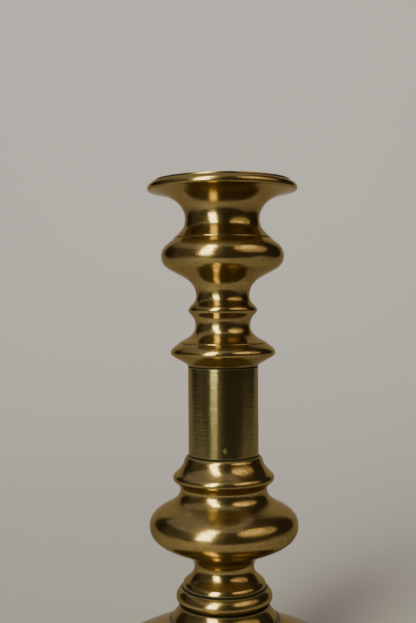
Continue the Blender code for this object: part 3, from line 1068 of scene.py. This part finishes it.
@dataclass(frozen=True)
class TieRod(Turned):
    """Threaded rod that holds the stack together."""

    node = "tie_rod"
    slot = Slot.STEEL
    pitch: float = 1.25
    depth: float = 0.55
    rows_in_a_pitch: int = 6
    spots: int = 36
    point: float = 0.6  # how much thinner the ends are
    centre_mark: float = 0.02

    def top(self) -> float:
        """Length of the rod."""
        low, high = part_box(self.node)
        return (high.z - low.z) / MM

    def shape(self, level: float) -> bpy.types.Object:
        """Cuts the thread as a helix along the whole rod, with pointed-off ends.

        Args:
            level: Height of the rod's foot.

        Returns:
            The rod.
        """
        length = self.top()
        rows = int(length / self.pitch * self.rows_in_a_pitch)

        def place(row: int, spot: int) -> Place:
            """Gives a point of the thread; the first and last rows close the ends."""
            share = min(max((row - 1) / (rows - 1), 0.0), 1.0)
            up = share * length
            turn_share = spot / self.spots
            phase = (up / self.pitch - turn_share) % 1.0
            radius = ROD_RADIUS - self.depth * abs(2.0 * phase - 1.0)
            radius = min(radius, ROD_RADIUS - self.point + min(up, length - up))
            if row in (0, rows + 1):
                radius = self.centre_mark
            return around(radius, math.tau * turn_share, level + up)

        return rings(f"{self.node}_threaded", rows + 2, self.spots, place)

    def finish(self, level: float) -> Steel:
        """Dull plated steel."""
        return Steel("rod_steel")


@dataclass(frozen=True)
class FlatWasher(Turned):
    """Plain washer under the boss."""

    node = "base_washer"
    slot = Slot.STEEL
    radius: float = 12.0
    thickness: float = 1.6

    def top(self) -> float:
        """Thickness of the washer."""
        return self.thickness

    def outline(self) -> Outline:
        """Washer with one rounded and one sheared edge, as a punched washer has."""
        shape = Outline((self.radius - 0.15, self.thickness)).line((self.radius, self.thickness - 0.15))
        shape.line((self.radius, 0.5))
        shape.curve((self.radius, 0.15), (self.radius - 0.15, 0.0), (self.radius - 0.5, 0.0), 5)
        shape.line((ROD_HOLE_RADIUS + 0.3, 0.0))
        shape.curve((ROD_HOLE_RADIUS + 0.1, 0.0), (ROD_HOLE_RADIUS, 0.1), (ROD_HOLE_RADIUS, 0.3), 4)
        return shape.line((ROD_HOLE_RADIUS, self.thickness))

    def finish(self, level: float) -> Steel:
        """Dull plated steel, a little darker than the rod."""
        return Steel("washer_steel", colour=(0.38, 0.38, 0.36))


@dataclass(frozen=True)
class LockWasher(Turned):
    """Split spring washer, pressed flat."""

    node = "lock_washer"
    slot = Slot.STEEL
    radius: float = 7.2
    thickness: float = 2.0
    split: float = 1.2
    spots: int = 120

    def top(self) -> float:
        """Thickness of the washer."""
        return self.thickness

    def section(self) -> list[Point]:
        """The bar's section, with broken corners."""
        corner = 0.25
        inner, outer, top = ROD_HOLE_RADIUS, self.radius, self.thickness
        return [
            (inner + corner, top), (outer - corner, top), (outer, top - corner), (outer, corner),
            (outer - corner, 0.0), (inner + corner, 0.0), (inner, corner), (inner, top - corner),
        ]

    def shape(self, level: float) -> bpy.types.Object:
        """Sweeps the section round from one side of the split to the other and closes both ends.

        Args:
            level: Height of the washer's lower face.

        Returns:
            The washer.
        """
        section = self.section()
        gap = self.split / (ROD_HOLE_RADIUS + self.radius)
        points = []
        for spot in range(self.spots + 1):
            angle = gap + (math.tau - 2.0 * gap) * spot / self.spots
            points.extend(around(radius, angle, level + up) for radius, up in section)
        count = len(section)
        last = self.spots * count
        faces = [tuple(range(count)), tuple(last + index for index in reversed(range(count)))]
        for spot in range(self.spots):
            for index in range(count):
                beside = (index + 1) % count
                row, after = spot * count, (spot + 1) * count
                faces.append((row + index, after + index, after + beside, row + beside))
        return object_from(f"{self.node}_split", points, faces)

    def finish(self, level: float) -> Steel:
        """Darker spring steel."""
        return Steel("spring_steel", colour=(0.30, 0.30, 0.29), roughness=0.42)


@dataclass(frozen=True)
class HexNut(Turned):
    """Hexagon nut with its corners turned down at both faces."""

    node = "hex_nut"
    slot = Slot.STEEL
    across_flats: float = 13.0
    height: float = 6.5
    spots: int = 144
    rows: int = 9  # points along the profile, from the bore round to the bore
    bevel: float = 0.5  # of the bore's two mouths

    def top(self) -> float:
        """Height of the nut."""
        return self.height

    def shape(self, level: float) -> bpy.types.Object:
        """Makes rows from the bore over the top cone, down the flats, and back over the lower cone.

        Args:
            level: Height of the nut's lower face.

        Returns:
            The nut.
        """
        flat = self.across_flats / 2.0
        corner = flat / math.cos(math.pi / 6.0)
        slope = math.tan(math.radians(30.0))
        inner = ROD_HOLE_RADIUS
        mouth = inner + self.bevel
        face_radius = flat - 0.25

        def place(row: int, spot: int) -> Place:
            """Gives a point of the nut; its flats are cut where the cone meets them."""
            angle = math.tau * spot / self.spots
            hexagon = min(flat / math.cos((angle % (math.pi / 3.0)) - math.pi / 6.0), corner)
            drop = max(hexagon - face_radius, 0.0) * slope
            rows = (
                (mouth, self.height), (face_radius, self.height), (hexagon, self.height - drop),
                (hexagon, self.height / 2.0), (hexagon, drop), (face_radius, 0.0), (mouth, 0.0),
                (inner, self.bevel), (inner, self.height - self.bevel),
            )
            radius, up = rows[row]
            return around(radius, angle, level + up)

        return rings(f"{self.node}_chamfered", self.rows, self.spots, place)

    def finish(self, level: float) -> Steel:
        """Dull plated steel."""
        return Steel("nut_steel", colour=(0.45, 0.45, 0.42), roughness=0.34)


# ------------------------------------------------------------
# Studio
# ------------------------------------------------------------


def facing(place: Vector, aim: Vector) -> Matrix:
    """A light's stand.

    Args:
        place: Where the light's middle is.
        aim: The direction that it shines in.

    Returns:
        The matrix that puts it there.
    """
    return Matrix.Translation(place) @ aim.to_track_quat("-Z", "Y").to_matrix().to_4x4()


def soft_light(name: str, size: Point, energy: float, colour: Colour, stand: Matrix, glow: Glow) -> None:
    """Adds a flat light to the scene, unseen by the camera.

    Args:
        name: The light's name.
        size: Its width and height, in metres.
        energy: Its power, in watts.
        colour: Its colour.
        stand: Where it stands and what it faces.
        glow: Its shape.
    """
    data = bpy.data.lights.new(name, "AREA")
    data.shape = glow.value
    data.size, data.size_y = size
    data.energy = energy
    data.color = colour
    item = bpy.data.objects.new(name, data)
    bpy.context.scene.collection.objects.link(item)
    item.matrix_world = stand
    item.visible_camera = False


@dataclass(frozen=True)
class Panel:
    """A soft light that faces the stick."""

    name: str
    azimuth: float  # degrees from the front, towards the right
    rise: float  # height of its middle above the table
    distance: float
    width: float
    height: float
    radiance: float
    colour: Colour = (1.0, 0.97, 0.93)
    upright: bool = True  # or else it tips towards low_aim
    glow: Glow = Glow.RECTANGLE
    lean: float = 0.0  # degrees that its top leans towards the left
    low_aim = 0.1  # height above the table that a panel faces when it isn't upright

    def light(self) -> None:
        """Adds the light to the scene."""
        angle = math.radians(self.azimuth)
        place = Vector((math.sin(angle), -math.cos(angle), 0.0)) * self.distance
        place.z = self.rise
        aim = Vector((0.0, 0.0, self.rise if self.upright else self.low_aim)) - place
        stand = facing(place, aim) @ Matrix.Rotation(math.radians(self.lean), 4, "Z")
        energy = self.radiance * math.pi * self.width * self.height
        soft_light(self.name, (self.width, self.height), energy, self.colour, stand, self.glow)


@dataclass(frozen=True)
class Studio:
    """Pale sweep of paper, dim room, soft lights and the camera; lengths in metres."""

    front: float = -0.235
    half_width: float = 0.85
    bend_start: float = 0.30
    bend_radius: float = 0.72
    wall_height: float = 2.2
    thickness: float = 0.004
    room: Colour = (0.036, 0.033, 0.030)
    seen_room: Colour = (0.50, 0.46, 0.425)
    bend_steps: int = 24
    eye: Place = (-5.33, -312.4, 146.94)  # the camera's place, in millimetres
    tilt: float = -0.0135  # radians; below zero it looks down
    roll: float = -0.0059

    def sweep(self) -> bpy.types.Object:
        """Makes the paper sweep: table, bend and wall, as one sheet with thickness.

        Returns:
            The sweep.
        """
        radius = self.bend_radius
        upper = [(self.front, 0.0), (self.bend_start, 0.0)]
        for step in range(1, self.bend_steps + 1):
            angle = math.pi / 2.0 * step / self.bend_steps
            upper.append((self.bend_start + radius * math.sin(angle), radius - radius * math.cos(angle)))
        upper.append((self.bend_start + radius, self.wall_height))
        thick = self.thickness
        lower = [(y + (thick if up > radius else 0.0), up - thick) for y, up in upper]
        loop = upper + lower[::-1]
        points = [(side * self.half_width, y, up) for side in (-1.0, 1.0) for y, up in loop]
        count = len(loop)
        faces: list[tuple[int, ...]] = []
        for index in range(count):
            after = (index + 1) % count
            faces.append((index, after, count + after, count + index))
        half = len(upper)
        for index in range(half - 1):
            low, low_after = count - 1 - index, count - 2 - index
            faces.append((index, low, low_after, index + 1))
            faces.append((count + index, count + index + 1, count + low_after, count + low))
        item = object_from("paper_sweep", points, faces)
        item.data.materials.append(Paper("studio_paper").material())
        return item

    def world(self) -> None:
        """Sets a dim room, which the camera sees as pale as the paper."""
        net = Net("room", world=True)
        seen = net.node("ShaderNodeLightPath", output="Is Camera Ray")
        dim = net.node("ShaderNodeBackground", inputs={"Color": self.room})
        pale = net.node("ShaderNodeBackground", inputs={"Color": self.seen_room})
        mixed = net.node("ShaderNodeMixShader", inputs={0: seen, 1: dim, 2: pale})
        net.node("ShaderNodeOutputWorld", inputs={"Surface": mixed})
        bpy.context.scene.world = net.owner

    def lights(self) -> None:
        """Sets up the soft lights round the stick, and one behind it that faces the wall."""
        day, lamp, faint = (1.0, 0.95, 0.66), (1.0, 0.80, 0.48), (1.0, 0.93, 0.70)
        oval = Glow.ELLIPSE
        panels = (
            Panel("window", -28.8, 0.625, 0.56, 0.205, 1.03, 14.5, day, lean=-2.5),
            Panel("window_sill", -31.3, 0.0, 0.56, 0.195, 0.22, 0.5, day, lean=-2.5),
            Panel("left_wall", -80.0, 0.45, 0.80, 0.80, 0.90, 0.06, faint, glow=oval),
            Panel("side_panel", 60.0, 0.84, 0.86, 1.30, 1.00, 0.60, lamp, glow=oval),
            Panel("side_panel_core", 52.0, 0.90, 0.84, 0.80, 0.50, 1.2, lamp, upright=False, glow=oval),
            Panel("ceiling", -90.0, 1.5, 0.4, 2.2, 2.2, 0.32, upright=False),
        )
        for panel in panels:
            panel.light()
        stand = facing(Vector((0.0, 0.12, 0.78)), Vector((0.0, 0.996, -0.08)))
        soft_light("wall_wash", (2.0, 0.5), 10.0, (1.0, 0.92, 0.84), stand, Glow.RECTANGLE)

    def camera(self) -> None:
        """Sets the camera in front of the stick, level with the cup's bead and a touch to the left."""
        data = bpy.data.cameras.new("camera")
        data.lens = 50.0
        data.sensor_width = 36.0
        data.clip_start = 0.01
        data.clip_end = 20.0
        item = bpy.data.objects.new("camera", data)
        bpy.context.scene.collection.objects.link(item)
        pitch = Matrix.Rotation(math.pi / 2.0 + self.tilt, 4, "X")
        roll = Matrix.Rotation(self.roll, 4, "Z")
        item.matrix_world = Matrix.Translation(Vector(self.eye) * MM) @ pitch @ roll
        bpy.context.scene.camera = item

    def build(self) -> None:
        """Builds the stage, lights it and sets the camera."""
        self.sweep()
        self.world()
        self.lights()
        self.camera()


def main() -> None:
    """Builds every piece and the studio."""
    logging.basicConfig(level=logging.INFO, format="%(message)s")
    pieces = (
        Nozzle(), CandleCup(), ColumnTube(), LowerKnop(), BeadRing(), Collar(), DomedFoot(),
        TieRod(), FlatWasher(), LockWasher(), HexNut(),
    )
    for piece in pieces:
        piece.build()
    Studio().build()


if __name__ == "__main__":
    main()
